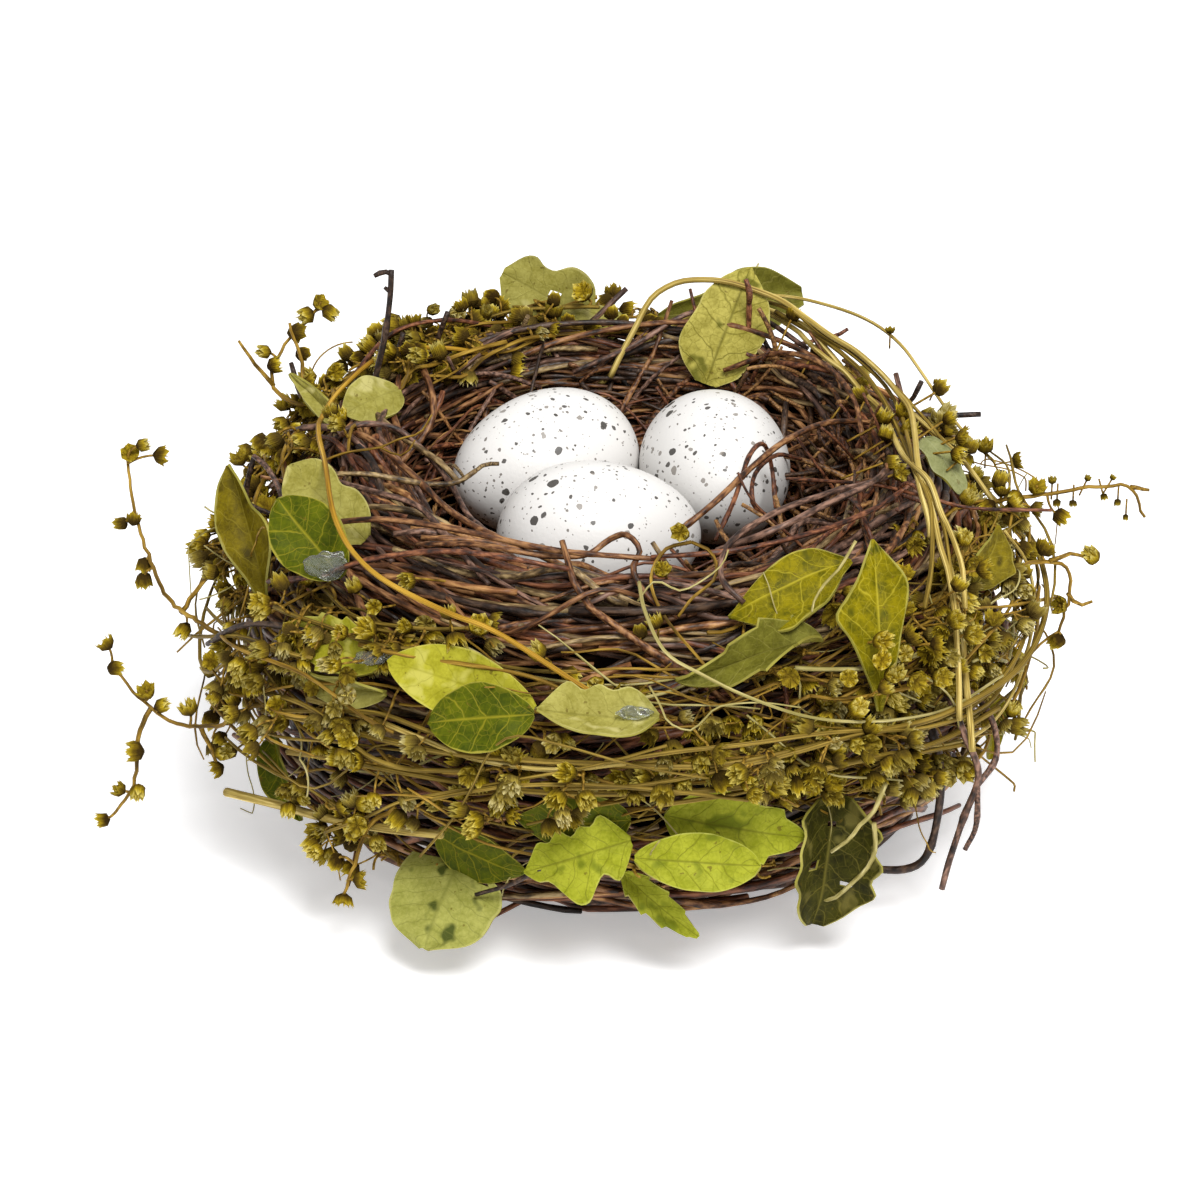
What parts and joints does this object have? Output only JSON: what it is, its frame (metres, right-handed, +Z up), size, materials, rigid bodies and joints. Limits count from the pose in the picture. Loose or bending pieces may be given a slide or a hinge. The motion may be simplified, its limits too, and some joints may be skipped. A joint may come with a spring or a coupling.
{
  "type": "bird nest",
  "caption": "Round nest of coiled vine twigs holding speckled eggs, wound with dried flower garlands, straw stems and preserved leaves; rests on a flat base.",
  "frame": {"origin": "centre of the flat base of the nest, where it meets the surface that it rests on", "axes": "+Z up through the cup, +X to the right as the nest faces forward, -Y towards the front"},
  "size_m": [0.1662, 0.137, 0.0821],
  "materials": {
    "twig": "matte bark",
    "dark_twig": "matte bark",
    "rootlet": "matte fibre",
    "eggshell": "smooth matte, speckled grey-brown",
    "straw": "dry, satin, ribbed",
    "dark_leaf": "preserved leaf, satin",
    "pale_leaf": "preserved leaf, matte",
    "lime_leaf": "preserved leaf, matte",
    "olive_leaf": "preserved leaf, matte",
    "flower": "dry flower heads, matte"
  },
  "bodies": {
    "root": {"nest_cup": "twig", "nest_lining": "rootlet", "egg_front": "eggshell", "egg_back_left": "eggshell", "egg_back_right": "eggshell", "vine_inner_rim": "twig", "vine_crest": "twig", "vine_outer_rim": "twig", "vine_low_wall": "twig", "straw_left_arch": "straw", "straw_right_outer": "straw", "straw_right_middle": "straw", "straw_right_inner": "straw", "straw_far_arch": "straw", "straw_band_upper": "straw", "straw_band_lower": "straw", "straw_cut_end": "straw", "twig_upright": "dark_twig", "twig_knotted": "dark_twig", "twig_drooping": "dark_twig", "twig_over_egg": "dark_twig", "twig_red_right": "dark_twig", "twig_back_curl": "dark_twig", "leaf_left_pale": "pale_leaf", "leaf_left_dark": "dark_leaf", "leaf_far_left": "olive_leaf", "leaf_rim_left": "pale_leaf", "leaf_rim_narrow": "pale_leaf", "leaf_back_lobed": "pale_leaf", "leaf_back_low": "pale_leaf", "leaf_back_tall": "pale_leaf", "leaf_back_toothed": "olive_leaf", "leaf_right_oval": "pale_leaf", "leaf_right_dark": "olive_leaf", "leaf_front_right_tall": "olive_leaf", "leaf_front_right_wide": "olive_leaf", "leaf_front_right_curled": "pale_leaf", "leaf_front_left_lime": "lime_leaf", "leaf_front_left_dark": "dark_leaf", "leaf_front_boat": "pale_leaf", "leaf_left_edge": "pale_leaf", "leaf_low_dark": "dark_leaf", "leaf_low_torn": "lime_leaf", "leaf_low_toothed": "lime_leaf", "leaf_low_oval": "lime_leaf", "leaf_low_spotted": "pale_leaf", "leaf_low_right": "dark_leaf", "spray_left_low": "flower", "spray_left_high": "flower", "spray_back_left": "flower", "spray_right_high": "flower", "spray_right_low": "flower", "spray_low_left": "flower", "garland_front_left": "flower", "garland_front": "flower", "garland_front_right": "flower", "garland_right": "flower", "garland_back_right": "flower", "garland_back_left": "flower", "garland_left": "flower"}
  },
  "joints": []
}
